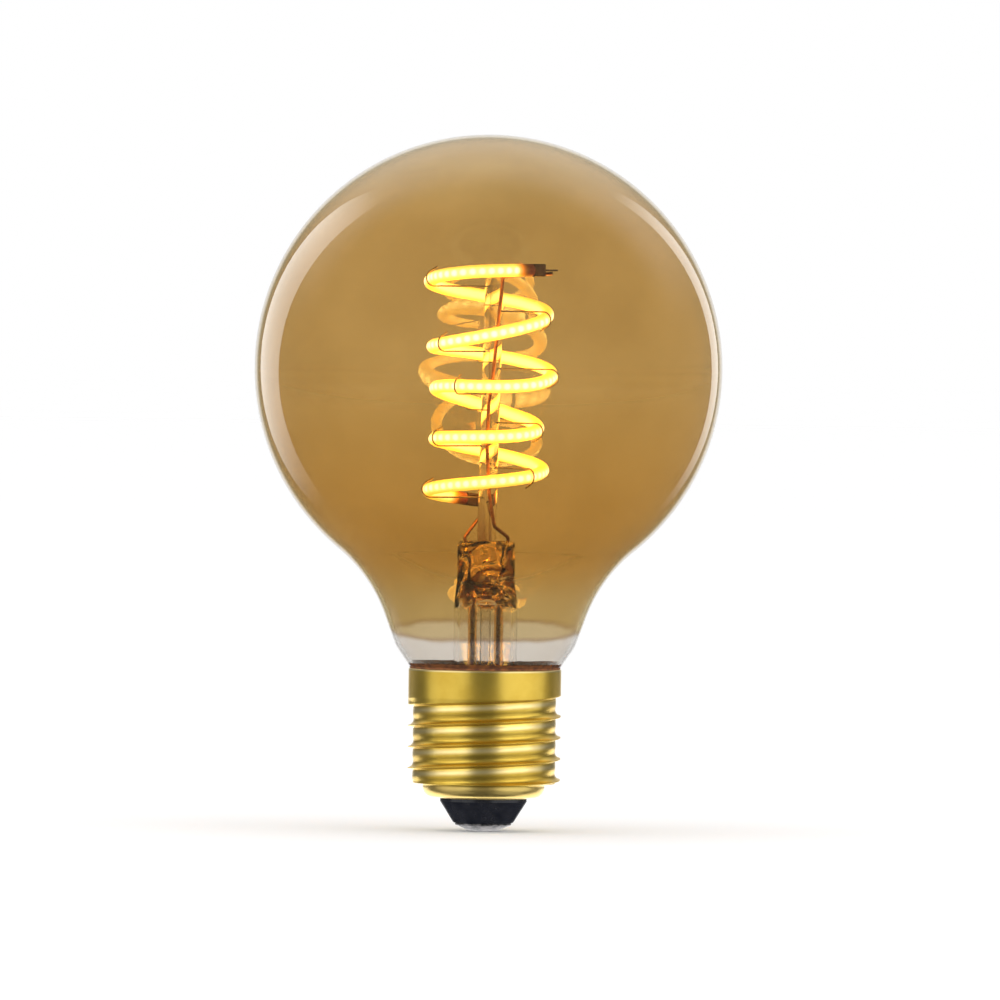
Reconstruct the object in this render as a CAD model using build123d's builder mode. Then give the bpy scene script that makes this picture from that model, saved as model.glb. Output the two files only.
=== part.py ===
from build123d import *
import os
from math import atan2, cos, radians, sin, sqrt, tan

# Filament lamp: a round glass globe on an Edison screw cap, with a coiled light source on a glass stem.
# Millimetres. The axis of the lamp is Z, the cap is down and the tip of the centre contact is the origin.
# The coil's front faces -Y. Angles round the axis are in degrees from +X.

# Fits
seat_gap = 0.03  # cemented, sealed and pressed pieces
weld_gap = 0.08  # wire ends under the pins that they are welded to
hook_gap = 0.14  # support hooks round the coil
board_gap = 0.4  # driver board in the cap

# Screw cap
cap_height = 27.8
collar_height = 3.7  # plain bore at the mouth
thread_crest_diameter = 26.1
thread_depth = 0.92
thread_root_diameter = thread_crest_diameter - 2 * thread_depth
thread_pitch = 3.629
thread_root_width = 1.9  # band at the bottom of each groove
thread_root_bulge = 0.1
thread_upper_flank = 0.3  # length along the axis
thread_land = 0.1  # flat left on each crest
thread_overcut = 0.15  # the flanks are drawn on past the crest
thread_turns = 4.417
thread_end_angle = 30.0  # where the groove runs out below the collar
thread_end_wall = 0.45  # metal between the end of the groove and the wider bore
shell_wall = 0.3
shelf_height = 8.2  # underside of the threaded barrel
shelf_fillet = 0.4
shelf_width = 1.73  # from the root of the thread in to the bowl
bowl_fillet = 1.6
dish_rise = 0.5  # from the lip out to the corner of the bowl
dish_width = 2.95  # sloping floor of the bowl, in to the lip
lip_height = 5.6
rim_fillet = 0.25

# Insulator and centre contact
insulator_tip_diameter = 10.2
insulator_tip_height = 1.4
insulator_tip_fillet = 0.5
insulator_cone_top = 5.1
insulator_top = 8.0
eyelet_diameter = 9.6
eyelet_plate = 0.35
eyelet_shank_diameter = 3.0
eyelet_bore_diameter = 1.6
eyelet_top = 8.6
eyelet_edge_fillet = 0.15
solder_diameter = 8.8
solder_flat_diameter = 1.6

# Glass envelope
globe_diameter = 80.0
neck_length = 11.3  # from the rim of the cap to the bottom of the round globe
glass_wall = 0.7
mouth_gap = 0.05  # glass to the rim of the cap
throat_angle = 35.0  # slope of the glass as it leaves the cap, from the axis
shoulder_rise = 3.7  # where the throat meets the neck, above the rim
shoulder_radius = 7.0
neck_angle = 20.0
neck_blend_radius = 26.0  # hollow sweep from neck to globe
seat_blend_radius = 3.0
seal_depth = 6.0  # end of the glass below the rim

# Cement
cement_width = 1.28  # between the glass and the threaded barrel
cement_top_depth = 0.4  # below the rim
cement_foot = 0.5  # above the end of the glass

# Glass stem
stem_rise = 21.8  # top of the press above the rim
tube_diameter = 10.9
tube_wall = 1.0
flare_rim = 1.1  # flat ring of the flare, in from the neck
press_width = 9.9
press_thickness = 4.8
press_corner = 1.8
press_height = 6.6  # flat part of the press
press_draw = 4.0  # length over which the tube is drawn in to the press
press_edge_fillet = 0.7
hollow_height = 2.8  # hollow drawn up into the press
hollow_width = 6.8
hollow_thickness = 3.1
exhaust_diameter = 2.7
exhaust_bore = 1.5
exhaust_tip_gap = 0.9  # sealed tip above the board
exhaust_hole_diameter = 1.3
exhaust_hole_rise = 2.4
post_diameter = 3.2
post_short = 0.1  # top of the post below the upper end of the coil
post_lean = 1.1  # degrees towards +X
post_top_fillet = 1.0

# Coiled light source
coil_diameter = 20.2
coil_turns = 4.556
coil_start_angle = -45.0
coil_rise = 46.4  # upper end above the press
coil_thickness = 2.2
# The coil is wound by hand: quarter turn by quarter turn, its fall and how far it stands out of round
coil_falls = [(0, 0), (1.0, 0.8), (3.4, 0.8), (6.2, 0.1), (9.5, 0.1), (12.6, -0.2), (13.9, -0.2)]
coil_falls += [(16.4, 0.8), (19.6, 0.8), (19.9, -0.8), (22.1, -0.8), (26.0, -1.3), (28.2, -1.3)]
coil_falls += [(28.7, -0.9), (30.4, -0.9), (33.5, -0.4), (35.6, -0.4), (37.2, -0.7), (39.4, -1.0)]
terminal_width = 1.9
terminal_height = 2.2
terminal_length = 2.3
terminal_fillet = 0.3
pin_width = 0.9
pin_thickness = 0.3
pin_length = 3.0
pin_weld_length = 0.7  # weld from the end of the pin

# Support wires
support_count = 13
support_first = 125.0  # along the coil from its upper end, in degrees of turn
support_step = 120.0
support_diameter = 0.28
support_depth = 1.0  # set into the post
support_wrap = 150.0
support_tail = 1.4

# Lead wires, sleeves and driver
lead_diameter = 0.6
lead_spacing = 4.5
lead_spread = 7.5  # between the leads where they leave the press
lead_bend = 2.0
exit_bend = 0.7  # at the press and at the upper weld
lead_exit = 0.6  # straight length above the press
lead_stand_off = 1.0  # upper lead in front of the post
upper_lead_route = [(1.3, 2.6), (0.4, 8.0), (-0.1, 16.2), (0.1, 23.4)]
upper_lead_route += [(0.8, 28.4), (1.6, 37.7), (2.3, 45.3)]
lower_lead_route = [(-2.4, 2.4, 2.4), (-0.9, 6.0, 4.4)]
sleeve_diameter = 1.6
sleeve_rise = 0.5  # above the drawn end of the tube
sleeve_foot = 0.6  # above the board
board_thickness = 1.0
hole_gap = 0.1  # wires in the holes of the board
wire_tail = 0.5  # wires past the board
capacitor_diameter = 6.3
capacitor_length = 9.0
capacitor_lead_spacing = 2.5
capacitor_lead_diameter = 0.5
capacitor_fillet = 0.25
capacitor_lead_out = 1.2  # leads past the end of the can
capacitor_clearance = 1.0  # above the insulator
fuse_diameter = 2.4
fuse_length = 4.6
fuse_drop = 0.8  # below the board
fuse_lead_diameter = 0.6
fuse_lead_end = 0.6  # above the tip of the contact
component_gap = 0.3
rectifier_size = (4.7, 3.9, 1.3)
rectifier_pin_count = 2  # on each side
rectifier_pin_pitch = 2.5
chip_size = (4.9, 3.9, 1.4)
chip_pin_count = 4  # on each side
chip_pin_pitch = 1.27
package_spot = (5.4, 4.6)
pin_sheet = 0.25
pin_foot = 0.9
package_pin_width = 0.42
package_stand = 0.15
package_taper = 4.0
resistor_size = (3.2, 1.6, 0.6)
resistor_spot = (4.2, 8.2)
neutral_diameter = 0.5
neutral_inset = 1.2  # from the edge of the board
neutral_drop = 1.0  # below the board
neutral_run = 1.6
neutral_end = 1.5  # above the shelf
neutral_bend = 0.8

# Heights and radii that follow from these
crest_radius = thread_crest_diameter / 2
root_radius = thread_root_diameter / 2
collar_bore = crest_radius - shell_wall
barrel_bore = root_radius - shell_wall
collar_floor = cap_height - collar_height
bowl_radius = root_radius - shelf_width
lip_radius = bowl_radius - dish_width
dish_slope = atan2(dish_rise, dish_width)
cut_radius = crest_radius + thread_overcut
lower_flank = thread_pitch - thread_land - thread_root_width - thread_upper_flank
thread_top = collar_floor - thread_end_wall - thread_upper_flank - thread_root_width / 2
thread_start = thread_top - thread_pitch * thread_turns
thread_start_angle = thread_end_angle - 360 * thread_turns
globe_radius = globe_diameter / 2
globe_centre = Vector(0, cap_height + neck_length + globe_radius)
seat_radius = barrel_bore - cement_width
mouth_radius = collar_bore - mouth_gap
seal_height = cap_height - seal_depth
tube_radius = tube_diameter / 2
flange_height = seal_height - seat_gap
press_top = cap_height + stem_rise
press_foot = press_top - press_height
tube_top = press_foot - press_draw
hollow_top = tube_top + hollow_height
post_radius = post_diameter / 2
post_length = coil_rise - post_short
coil_radius = coil_diameter / 2
coil_top = press_top + coil_rise
lead_radius = lead_diameter / 2
board_bottom = insulator_top + capacitor_clearance + capacitor_diameter + seat_gap
board_top = board_bottom + board_thickness
exhaust_tip = board_top + exhaust_tip_gap
board_radius = barrel_bore - board_gap


# Glass outline

# The outline is straight runs joined by tangent arcs. Each arc keeps its centre when the outline is
# moved inwards by an inset, so that the two faces of the wall are parallel.
def slope(angle):
    return Vector(sin(radians(angle)), cos(radians(angle)))


def outward(angle):
    return Vector(cos(radians(angle)), -sin(radians(angle)))


throat_foot = Vector(seat_radius, cap_height + (seat_radius - mouth_radius) / tan(radians(throat_angle)))
throat_head = Vector(mouth_radius + shoulder_rise * tan(radians(throat_angle)), cap_height + shoulder_rise)
seat_tangent = seat_blend_radius * tan(radians(throat_angle) / 2)
shoulder_tangent = shoulder_radius * tan(radians(throat_angle - neck_angle) / 2)
seat_centre = throat_foot + slope(throat_angle) * seat_tangent + outward(throat_angle) * seat_blend_radius
shoulder_centre = throat_head + slope(neck_angle) * shoulder_tangent - outward(neck_angle) * shoulder_radius
blend_reach = globe_radius + neck_blend_radius
blend_start = throat_head + outward(neck_angle) * neck_blend_radius - globe_centre
blend_along = blend_start.dot(slope(neck_angle))
blend_travel = -blend_along - sqrt(blend_along**2 - blend_start.length**2 + blend_reach**2)
blend_centre = globe_centre + blend_start + slope(neck_angle) * blend_travel
globe_edge = (blend_centre - globe_centre).normalized()


def draw_globe(inset):
    top = globe_centre + Vector(0, globe_radius - inset)
    edge = globe_centre + globe_edge * (globe_radius - inset)
    neck_top = blend_centre - outward(neck_angle) * (neck_blend_radius + inset)
    neck_end = shoulder_centre + outward(neck_angle) * (shoulder_radius - inset)
    throat_top = shoulder_centre + outward(throat_angle) * (shoulder_radius - inset)
    globe = TangentArc(top, edge, tangent=(1, 0))
    TangentArc(edge, neck_top, tangent=globe % 1)
    neck = Line(neck_top, neck_end)
    TangentArc(neck_end, throat_top, tangent=neck % 1)
    draw_throat(inset, throat_top, seal_height)


def draw_throat(inset, throat_top, foot_height):
    throat_end = seat_centre - outward(throat_angle) * (seat_blend_radius + inset)
    seat_top = seat_centre - Vector(seat_blend_radius + inset, 0)
    throat = Line(throat_top, throat_end)
    TangentArc(throat_end, seat_top, tangent=throat % 1)
    Line(seat_top, (seat_radius - inset, foot_height))


with BuildPart() as glass_envelope:
    with BuildSketch(Plane.XZ):
        with BuildLine():
            draw_globe(0)
            draw_globe(glass_wall)
            Line((0, globe_centre.Y + globe_radius), (0, globe_centre.Y + globe_radius - glass_wall))
            Line((seat_radius, seal_height), (seat_radius - glass_wall, seal_height))
        make_face()
    revolve(axis=Axis.Z)


# Screw shell

# The rolled bottom of the shell is a dish with a sloping floor.
def dish_floor(radius, inset):
    return lip_height + (radius - lip_radius) * tan(dish_slope) + inset / cos(dish_slope)


def dish_corner(inset):
    return (bowl_radius - inset, dish_floor(bowl_radius - inset, inset))


# Section of the groove: a slightly round band, a short steep flank above it and a long hollow flank below
def draw_groove(height):
    root_low = (root_radius, height - thread_root_width / 2)
    root_high = (root_radius, height + thread_root_width / 2)
    crest_low = (cut_radius, root_low[1] - lower_flank)
    crest_high = (cut_radius, root_high[1] + thread_upper_flank)
    band = ThreePointArc(root_high, (root_radius + thread_root_bulge, height), root_low)
    TangentArc(root_low, crest_low, tangent=band % 1)
    Polyline(crest_low, crest_high, root_high)


# The groove is drawn from +X and is turned to its start where it is cut
with BuildPart() as thread_groove:
    with BuildLine() as groove_path:
        Helix(thread_pitch, thread_top - thread_start, root_radius, center=(0, 0, thread_start))
    with BuildSketch(Plane.XZ):
        with BuildLine():
            draw_groove(thread_start)
        make_face()
    sweep(path=groove_path.line, is_frenet=True)

# At its upper end the groove leaves the metal along its tangent
with BuildPart() as thread_run_out:
    groove_end = groove_path.line @ 1
    end_spoke = Vector(groove_end.X, groove_end.Y, 0)
    with BuildSketch(Plane(origin=(0, 0, 0), x_dir=end_spoke, z_dir=end_spoke.cross(Vector(0, 0, 1)))):
        with BuildLine():
            draw_groove(thread_top)
        make_face()
    extrude(amount=sqrt(cut_radius**2 - root_radius**2), dir=groove_path.line % 1)

# The barrel is made longer than the groove, threaded, and then cut off at the shelf.
with BuildPart() as screw_shell:
    barrel_foot = thread_start - thread_pitch
    with BuildSketch(Plane.XZ):
        with BuildLine():
            FilletPolyline(
                (crest_radius, barrel_foot),
                (crest_radius, cap_height),
                (collar_bore, cap_height),
                (collar_bore, collar_floor),
                (barrel_bore, collar_floor),
                (barrel_bore, barrel_foot),
                radius=[0, rim_fillet, 0, 0, 0, 0],
                close=True,
            )
        make_face()
    revolve(axis=Axis.Z)
    add(thread_groove.part, rotation=(0, 0, thread_start_angle), mode=Mode.SUBTRACT)
    add(thread_run_out.part, rotation=(0, 0, thread_start_angle), mode=Mode.SUBTRACT)
    split(bisect_by=Plane.XY.offset(shelf_height), keep=Keep.TOP)
    shelf_edge = (root_radius + barrel_bore) / 2
    with BuildSketch(Plane.XZ):
        with BuildLine():
            FilletPolyline(
                (lip_radius, dish_floor(lip_radius, 0)),
                dish_corner(0),
                (bowl_radius, shelf_height),
                (shelf_edge, shelf_height),
                (shelf_edge, shelf_height + shell_wall),
                (bowl_radius - shell_wall, shelf_height + shell_wall),
                dish_corner(shell_wall),
                (lip_radius, dish_floor(lip_radius, shell_wall)),
                radius=[
                    0, bowl_fillet, shelf_fillet, 0,
                    0, shelf_fillet + shell_wall, bowl_fillet - shell_wall, 0,
                ],
                close=True,
            )
        make_face()
    revolve(axis=Axis.Z)


# Insulator and centre contact
with BuildPart() as cap_insulator:
    fit = shell_wall + seat_gap
    neck = lip_radius - seat_gap
    bore = eyelet_shank_diameter / 2 + seat_gap
    with BuildSketch(Plane.XZ):
        with BuildLine():
            FilletPolyline(
                (bore, insulator_tip_height),
                (insulator_tip_diameter / 2, insulator_tip_height),
                (neck, insulator_cone_top),
                (neck, dish_floor(neck, fit)),
                dish_corner(fit),
                (bowl_radius - fit, insulator_top),
                (bore, insulator_top),
                radius=[0, insulator_tip_fillet, 0, 0, bowl_fillet - fit, 0, 0],
                close=True,
            )
        make_face()
    revolve(axis=Axis.Z)

plate_top = insulator_tip_height - seat_gap
plate_bottom = plate_top - eyelet_plate
with BuildPart() as contact_eyelet:
    with BuildSketch(Plane.XZ):
        with BuildLine():
            FilletPolyline(
                (eyelet_bore_diameter / 2, plate_bottom),
                (eyelet_diameter / 2, plate_bottom),
                (eyelet_diameter / 2, plate_top),
                (eyelet_shank_diameter / 2, plate_top),
                (eyelet_shank_diameter / 2, eyelet_top),
                (eyelet_bore_diameter / 2, eyelet_top),
                radius=[0, eyelet_edge_fillet, eyelet_edge_fillet, 0, 0, 0],
                close=True,
            )
        make_face()
    revolve(axis=Axis.Z)

fuse_bore = fuse_lead_diameter / 2 + seat_gap
solder_top = plate_bottom - seat_gap
with BuildPart() as contact_solder:
    with BuildSketch(Plane.XZ):
        with BuildLine():
            flat = Line((0, 0), (solder_flat_diameter / 2, 0))
            TangentArc(flat @ 1, (solder_diameter / 2, solder_top), tangent=(1, 0))
            Polyline(
                (solder_diameter / 2, solder_top),
                (fuse_bore, solder_top),
                (fuse_bore, fuse_lead_end - seat_gap),
                (0, fuse_lead_end - seat_gap),
                (0, 0),
            )
        make_face()
    revolve(axis=Axis.Z)


# Cement between the glass and the cap
cement_top = cap_height - cement_top_depth
cement_bottom = seal_height + cement_foot
throat_slope = radians(throat_angle)
with BuildPart() as cap_cement:
    inner_top = mouth_radius - cement_top_depth * tan(throat_slope) + seat_gap / cos(throat_slope)
    with BuildSketch(Plane.XZ):
        with BuildLine():
            draw_throat(-seat_gap, Vector(inner_top, cement_top), cement_bottom)
            Polyline(
                (inner_top, cement_top),
                (collar_bore - seat_gap, cement_top),
                (collar_bore - seat_gap, collar_floor + seat_gap),
                (barrel_bore - seat_gap, collar_floor + seat_gap),
                (barrel_bore - seat_gap, cement_bottom),
                (seat_radius + seat_gap, cement_bottom),
            )
        make_face()
    revolve(axis=Axis.Z)


# Coil centreline
coil_step = 360 * coil_turns / (len(coil_falls) - 1)
coil_points = []
for count, (fall, swell) in enumerate(coil_falls):
    turn = radians(coil_start_angle - coil_step * count)
    reach = coil_radius + swell
    coil_points.append((reach * cos(turn), reach * sin(turn), coil_top - fall))
with BuildLine() as coil_path:
    Spline(*coil_points)
coil = coil_path.line

with BuildPart() as led_filament:
    with BuildSketch(Plane(origin=coil @ 0, z_dir=coil % 0)):
        Circle(coil_thickness / 2)
    sweep(path=coil)


# Terminals at the ends of the coil
def make_terminal(end, direction):
    across = Vector(0, 0, 1).cross(direction).normalized()
    face = Plane(origin=end + direction * seat_gap, x_dir=across, z_dir=direction)
    with BuildPart() as terminal:
        with BuildSketch(face):
            RectangleRounded(terminal_width, terminal_height, terminal_fillet)
        extrude(amount=terminal_length)
        with BuildSketch(face.offset(terminal_length)):
            Rectangle(pin_width, pin_thickness)
        extrude(amount=pin_length)
    return terminal


# Where a lead ends below the pin of a terminal
def weld_point(end, direction):
    reach = seat_gap + terminal_length + pin_length - pin_weld_length
    return end + direction * reach - Vector(0, 0, pin_thickness / 2 + weld_gap + lead_radius)


upper_direction = coil % 0 * -1
lower_direction = coil % 1
filament_terminal_upper = make_terminal(coil @ 0, upper_direction)
filament_terminal_lower = make_terminal(coil @ 1, lower_direction)


# Round wire along straight runs and tangent bends
def make_wire(points, bends, diameter):
    with BuildPart() as wire:
        with BuildLine() as route:
            FilletPolyline(*points, radius=bends)
        with BuildSketch(Plane(origin=route.line @ 0, z_dir=route.line % 0)):
            Circle(diameter / 2)
        sweep(path=route.line)
    return wire


lead_front = -(post_radius + lead_stand_off + lead_radius)
lead_foot_height = board_bottom - wire_tail
upper_lead_points = [
    (lead_spacing / 2, 0, lead_foot_height),
    (lead_spacing / 2, 0, hollow_top),
    (lead_spread / 2, 0, press_top + lead_exit),
]
upper_lead_points += [(x, lead_front, press_top + rise) for x, rise in upper_lead_route]
upper_lead_points.append(weld_point(coil @ 0, upper_direction))
lower_lead_points = [
    (-lead_spacing / 2, 0, lead_foot_height),
    (-lead_spacing / 2, 0, hollow_top),
    (-lead_spread / 2, 0, press_top + lead_exit),
]
lower_lead_points += [(x, y, press_top + rise) for x, y, rise in lower_lead_route]
lower_lead_points.append(weld_point(coil @ 1, lower_direction))
upper_lead_bends = [lead_bend, exit_bend] + [lead_bend] * (len(upper_lead_route) - 1) + [exit_bend]
lower_lead_bends = [lead_bend, exit_bend] + [lead_bend] * len(lower_lead_route)
upper_lead_bends[2] = exit_bend
lower_lead_bends[2] = exit_bend
lead_wire_upper = make_wire(upper_lead_points, upper_lead_bends, lead_diameter)
lead_wire_lower = make_wire(lower_lead_points, lower_lead_bends, lead_diameter)


# Sleeves on the leads inside the stem
def make_sleeve(x):
    with BuildPart() as sleeve:
        with BuildSketch(Plane.XY.offset(board_top + sleeve_foot)):
            with Locations((x, 0)):
                Circle(sleeve_diameter / 2)
                Circle(lead_radius + seat_gap, mode=Mode.SUBTRACT)
        extrude(amount=tube_top + sleeve_rise - board_top - sleeve_foot)
    return sleeve


lead_sleeve_upper = make_sleeve(lead_spacing / 2)
lead_sleeve_lower = make_sleeve(-lead_spacing / 2)

# Stem: flare, tube and press in one piece of glass
lead_hole = lead_diameter + 2 * seat_gap
upper_lead_hole = make_wire(upper_lead_points[:4], upper_lead_bends[:2], lead_hole)
lower_lead_hole = make_wire(lower_lead_points[:4], lower_lead_bends[:2], lead_hole)
flare_edge = seat_radius - flare_rim
flare_radius = flare_edge - tube_radius
flare_top = flange_height + flare_radius
with BuildPart() as stem_flare:
    with BuildSketch(Plane.XZ):
        with BuildLine():
            Line((seat_radius, flange_height), (flare_edge, flange_height))
            TangentArc((flare_edge, flange_height), (tube_radius, flare_top), tangent=(-1, 0))
            Polyline(
                (tube_radius, flare_top),
                (tube_radius, tube_top),
                (tube_radius - tube_wall, tube_top),
                (tube_radius - tube_wall, flare_top),
            )
            TangentArc(
                (flare_edge, flange_height - tube_wall),
                (tube_radius - tube_wall, flare_top),
                tangent=(-1, 0),
            )
            Polyline(
                (flare_edge, flange_height - tube_wall),
                (seat_radius, flange_height - tube_wall),
                (seat_radius, flange_height),
            )
        make_face()
    revolve(axis=Axis.Z)
    with BuildSketch(Plane.XY.offset(tube_top)):
        Circle(tube_radius)
    with BuildSketch(Plane.XY.offset(press_foot)):
        RectangleRounded(press_width, press_thickness, press_corner)
    loft()
    with BuildSketch(Plane.XY.offset(press_foot)):
        RectangleRounded(press_width, press_thickness, press_corner)
    extrude(amount=press_height)
    fillet(faces().sort_by(Axis.Z)[-1].edges(), press_edge_fillet)
    with BuildSketch(Plane.XY.offset(tube_top)):
        Circle(tube_radius - tube_wall)
    with BuildSketch(Plane.XY.offset(hollow_top)):
        RectangleRounded(hollow_width, hollow_thickness, hollow_thickness / 2 - seat_gap)
    loft(mode=Mode.SUBTRACT)
    with BuildSketch(Plane.XY.offset(hollow_top)):
        Circle(exhaust_hole_diameter / 2)
    extrude(amount=exhaust_hole_rise, mode=Mode.SUBTRACT)
    with BuildSketch(Plane.XZ.offset(-press_thickness)):
        with Locations((0, hollow_top + exhaust_hole_rise)):
            Circle(exhaust_hole_diameter / 2)
    extrude(amount=press_thickness, mode=Mode.SUBTRACT)
    add(upper_lead_hole.part, mode=Mode.SUBTRACT)
    add(lower_lead_hole.part, mode=Mode.SUBTRACT)

with BuildPart() as exhaust_tube:
    outer = exhaust_diameter / 2
    inner = exhaust_bore / 2
    bore_end = exhaust_tip + 2 * outer
    with BuildSketch(Plane.XZ):
        with BuildLine():
            TangentArc((outer, exhaust_tip + outer), (0, exhaust_tip), tangent=(0, -1))
            Polyline(
                (outer, exhaust_tip + outer),
                (outer, hollow_top - seat_gap),
                (inner, hollow_top - seat_gap),
                (inner, bore_end),
            )
            TangentArc((inner, bore_end), (0, bore_end - inner), tangent=(0, -1))
            Line((0, bore_end - inner), (0, exhaust_tip))
        make_face()
    revolve(axis=Axis.Z)


# Post and the support wires that it carries
def post_axis(height):
    return Vector((height - press_top) * tan(radians(post_lean)), 0, height)


support_level = coil_thickness / 2 + support_diameter / 2 + hook_gap
support_turns = [support_first + support_step * count for count in range(support_count)]
support_places = [turn / (360 * coil_turns) for turn in support_turns]
support_sides = [1 if count % 3 == 2 else -1 for count in range(support_count)]


# Upright plane through the post and the coil, with its origin on the axis of the post
def support_plane(along):
    root = post_axis((coil @ along).Z)
    spoke = coil @ along - root
    return Plane(origin=root, x_dir=spoke, z_dir=spoke.cross(Vector(0, 0, 1)))


# A support leaves the post level, passes over or under the coil and hooks round its outside
def make_support(along, side):
    plane = support_plane(along)
    reach = plane.to_local_coords(coil @ along).X
    level = side * support_level
    middle = radians(90 - support_wrap / 2)
    end = radians(90 - support_wrap)
    hook_middle = (reach + support_level * cos(middle), level * sin(middle))
    hook_end = (reach + support_level * cos(end), level * sin(end))
    tail_end = (hook_end[0] + support_tail * sin(end), hook_end[1] - side * support_tail * cos(end))
    with BuildPart() as support:
        with BuildLine(plane) as route:
            Line((post_radius - support_depth, level), (reach, level))
            ThreePointArc((reach, level), hook_middle, hook_end)
            Line(hook_end, tail_end)
        with BuildSketch(Plane(origin=route.line @ 0, z_dir=route.line % 0)):
            Circle(support_diameter / 2)
        sweep(path=route.line)
    return support


supports = [make_support(along, side) for along, side in zip(support_places, support_sides)]

with BuildPart() as stem_post:
    post_foot = post_axis(press_top - post_radius)
    with BuildSketch(Plane(origin=post_foot, z_dir=post_axis(press_top) - post_foot)):
        Circle(post_radius)
    extrude(amount=post_length + post_radius)
    fillet(faces().sort_by(Axis.Z)[-1].edges(), post_top_fillet)
    split(bisect_by=Plane.XY.offset(press_top + seat_gap), keep=Keep.TOP)
    for along, side in zip(support_places, support_sides):
        plane = support_plane(along)
        socket = plane.from_local_coords((post_radius - support_depth - seat_gap, side * support_level, 0))
        with BuildSketch(Plane(origin=socket, z_dir=plane.x_dir)):
            Circle(support_diameter / 2 + seat_gap)
        extrude(amount=post_diameter, mode=Mode.SUBTRACT)


# Driver in the cap
capacitor_y = -(fuse_diameter / 2 + component_gap + capacitor_diameter / 2)
capacitor_z = board_bottom - seat_gap - capacitor_diameter / 2
capacitor_lead_x = capacitor_length / 2 + capacitor_lead_out
neutral_x = barrel_bore - neutral_diameter / 2 - seat_gap
neutral_hole_x = board_radius - neutral_inset
with BuildPart() as driver_board:
    with BuildSketch(Plane.XY.offset(board_bottom)):
        Circle(board_radius)
        with GridLocations(lead_spacing, 0, 2, 1):
            Circle(lead_radius + hole_gap, mode=Mode.SUBTRACT)
        with Locations((neutral_hole_x, 0)):
            Circle(neutral_diameter / 2 + hole_gap, mode=Mode.SUBTRACT)
        with Locations((0, 0)):
            Circle(fuse_lead_diameter / 2 + hole_gap, mode=Mode.SUBTRACT)
        with Locations((capacitor_lead_x, capacitor_y)):
            with GridLocations(0, capacitor_lead_spacing, 1, 2):
                Circle(capacitor_lead_diameter / 2 + hole_gap, mode=Mode.SUBTRACT)
    extrude(amount=board_thickness)

with BuildPart() as smoothing_capacitor:
    can_end = Plane.YZ.offset(-capacitor_length / 2)
    with BuildSketch(can_end):
        with Locations((capacitor_y, capacitor_z)):
            Circle(capacitor_diameter / 2)
    extrude(amount=capacitor_length)
    fillet(edges().filter_by(GeomType.CIRCLE), capacitor_fillet)
    for side in (-1, 1):
        y = capacitor_y + side * capacitor_lead_spacing / 2
        lead_points = [
            (capacitor_length / 2 - capacitor_fillet, y, capacitor_z),
            (capacitor_lead_x, y, capacitor_z),
            (capacitor_lead_x, y, board_top + wire_tail),
        ]
        with BuildLine() as lead_line:
            FilletPolyline(*lead_points, radius=capacitor_lead_diameter)
        with BuildSketch(Plane(origin=lead_points[0], z_dir=(1, 0, 0))):
            Circle(capacitor_lead_diameter / 2)
        sweep(path=lead_line.line)

fuse_top = board_bottom - fuse_drop
with BuildPart() as fuse_resistor:
    with BuildSketch(Plane.XY.offset(fuse_top - fuse_length)):
        Circle(fuse_diameter / 2)
    extrude(amount=fuse_length)
    fillet(edges().filter_by(GeomType.CIRCLE), fuse_diameter / 4)
    with BuildSketch(Plane.XY.offset(fuse_lead_end)):
        Circle(fuse_lead_diameter / 2)
    extrude(amount=board_top + wire_tail - fuse_lead_end)


# Flat package with pins along two sides
def make_package(size, spot, pin_count, pin_pitch):
    length, width, height = size
    with BuildPart() as package:
        with BuildSketch(Plane.XY.offset(board_top + package_stand)):
            with Locations(spot):
                Rectangle(length, width)
        extrude(amount=height, taper=package_taper)
        with BuildSketch(Plane.XY.offset(board_top + seat_gap)):
            with Locations(spot):
                with GridLocations(pin_pitch, 0, pin_count, 1):
                    Rectangle(package_pin_width, width + 2 * pin_foot)
        extrude(amount=pin_sheet)
    return package


rectifier_spot = (-package_spot[0], package_spot[1])
bridge_rectifier = make_package(rectifier_size, rectifier_spot, rectifier_pin_count, rectifier_pin_pitch)
driver_chip = make_package(chip_size, package_spot, chip_pin_count, chip_pin_pitch)


def make_resistor(x):
    length, width, height = resistor_size
    with BuildPart() as resistor:
        with BuildSketch(Plane.XY.offset(board_top + seat_gap)):
            with Locations((x, -resistor_spot[1])):
                Rectangle(length, width)
        extrude(amount=height)
    return resistor


chip_resistor_left = make_resistor(-resistor_spot[0])
chip_resistor_right = make_resistor(resistor_spot[0])

neutral_points = [
    (neutral_hole_x, 0, board_top + wire_tail),
    (neutral_hole_x, 0, board_bottom - neutral_drop),
    (neutral_x, 0, board_bottom - neutral_drop - neutral_run),
    (neutral_x, 0, shelf_height + shell_wall + neutral_end),
]
neutral_wire = make_wire(neutral_points, [neutral_bend] * 2, neutral_diameter)

# Write the pieces
pieces = {
    "glass_envelope": glass_envelope,
    "screw_shell": screw_shell,
    "cap_insulator": cap_insulator,
    "contact_eyelet": contact_eyelet,
    "contact_solder": contact_solder,
    "cap_cement": cap_cement,
    "led_filament": led_filament,
    "filament_terminal_upper": filament_terminal_upper,
    "filament_terminal_lower": filament_terminal_lower,
    "lead_wire_upper": lead_wire_upper,
    "lead_wire_lower": lead_wire_lower,
    "lead_sleeve_upper": lead_sleeve_upper,
    "lead_sleeve_lower": lead_sleeve_lower,
    "stem_flare": stem_flare,
    "exhaust_tube": exhaust_tube,
    "stem_post": stem_post,
    "driver_board": driver_board,
    "smoothing_capacitor": smoothing_capacitor,
    "fuse_resistor": fuse_resistor,
    "bridge_rectifier": bridge_rectifier,
    "driver_chip": driver_chip,
    "chip_resistor_left": chip_resistor_left,
    "chip_resistor_right": chip_resistor_right,
    "neutral_wire": neutral_wire,
}
for count, support in enumerate(supports):
    pieces[f"support_wire_{count + 1:02d}"] = support
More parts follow.
